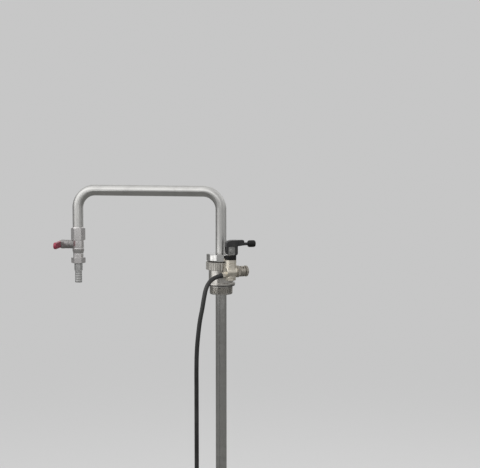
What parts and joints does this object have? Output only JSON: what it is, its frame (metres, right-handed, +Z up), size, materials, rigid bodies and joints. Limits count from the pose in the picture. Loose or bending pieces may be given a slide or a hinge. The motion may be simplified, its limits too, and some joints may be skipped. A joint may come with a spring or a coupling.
{
  "type": "gas-pressure siphon head",
  "caption": "Siphon head for a bung hole: dip tube, swivelling steel spout with a ball-valve tap, and a lever gas valve with relief valve and hose.",
  "frame": {"origin": "centre of the bung seat, where the gasket's lower face meets the vessel's bung", "axes": "+Z up along the riser, the spout points along -X, the front is -Y"},
  "size_m": [0.5248, 0.1655, 1.11],
  "materials": {
    "polished_stainless": "polished",
    "satin_stainless": "satin",
    "nickel_brass": "nickel plated",
    "black_plastic": "fine grain",
    "red_grip": "dipped vinyl",
    "white_plastic": "smooth",
    "black_rubber": "matt",
    "hose_rubber": "satin",
    "spring_steel": "drawn wire"
  },
  "bodies": {
    "head": {"head_body": "satin_stainless", "bung_gasket": "black_rubber", "dip_tube": "polished_stainless", "dip_tube_seal": "black_rubber", "dip_tube_foot": "white_plastic", "union_seal": "black_rubber", "gas_spigot": "nickel_brass", "gas_valve_body": "nickel_brass", "gas_valve_plug": "nickel_brass", "gas_valve_bonnet": "nickel_brass", "gas_valve_collar": "black_plastic", "gas_stem_seal": "black_rubber", "gas_valve_spring": "spring_steel", "relief_body": "nickel_brass", "relief_bush": "nickel_brass", "relief_spring": "spring_steel", "gas_barb": "nickel_brass", "hose_ferrule": "black_plastic", "gas_hose": "hose_rubber", "hose_end_ferrule": "nickel_brass", "hose_plug": "nickel_brass"},
    "union_nut": {"union_nut": "polished_stainless"},
    "spout": {"riser_collar": "polished_stainless", "arch_tube": "polished_stainless", "tap_socket": "satin_stainless", "tap_body": "satin_stainless", "tap_seat_upper": "white_plastic", "tap_seat_lower": "white_plastic", "tap_stem_packing": "white_plastic", "tap_gland_nut": "satin_stainless", "tap_nozzle": "satin_stainless", "tap_nozzle_washer": "black_rubber"},
    "tap_lever": {"tap_ball": "polished_stainless", "tap_stem": "satin_stainless", "tap_lever": "satin_stainless", "tap_lever_grip": "red_grip", "tap_lever_washer": "satin_stainless", "tap_lever_nut": "satin_stainless"},
    "gas_stem": {"gas_valve_stem": "satin_stainless", "gas_valve_disc": "black_rubber"},
    "gas_lever": {"gas_lever": "black_plastic", "gas_lever_pin": "polished_stainless", "gas_lever_knob": "black_plastic"},
    "relief_pull": {"relief_stem": "satin_stainless", "relief_disc": "black_rubber", "relief_cap": "nickel_brass"}
  },
  "joints": [
    {"name": "spout_swivel", "type": "hinge", "parent": "head", "child": "spout", "pos_m": [0, 0, 0.07], "axis": [0, 0, 1], "continuous": true},
    {"name": "union_nut_turn", "type": "hinge", "parent": "head", "child": "union_nut", "pos_m": [0, 0, 0.07], "axis": [0, 0, 1], "range_deg": [0, 90]},
    {"name": "tap_lever_turn", "type": "hinge", "parent": "spout", "child": "tap_lever", "pos_m": [-0.3745, 0, 0.099], "axis": [-1, 0, 0], "range_deg": [0, 90]},
    {"name": "gas_stem_lift", "type": "slide", "parent": "head", "child": "gas_stem", "axis": [0, 0, 1], "range_m": [0, 0.0017], "deforming": ["gas_valve_spring"]},
    {"name": "gas_lever_flip", "type": "hinge", "parent": "gas_stem", "child": "gas_lever", "pos_m": [0.03281, -0.04686, 0.0938], "axis": [0.3907, -0.9205, 0], "range_deg": [0, 90]},
    {"name": "relief_lift", "type": "slide", "parent": "head", "child": "relief_pull", "axis": [0.8192, 0.5736, 0], "range_m": [0, 0.003], "stiffness_N_per_m": 1500, "springref_m": -0.004, "deforming": ["relief_spring"]}
  ],
  "couplings": [
    {"joint": "gas_stem_lift", "follows": "gas_lever_flip", "m_per_rad": 0.0010186}
  ]
}
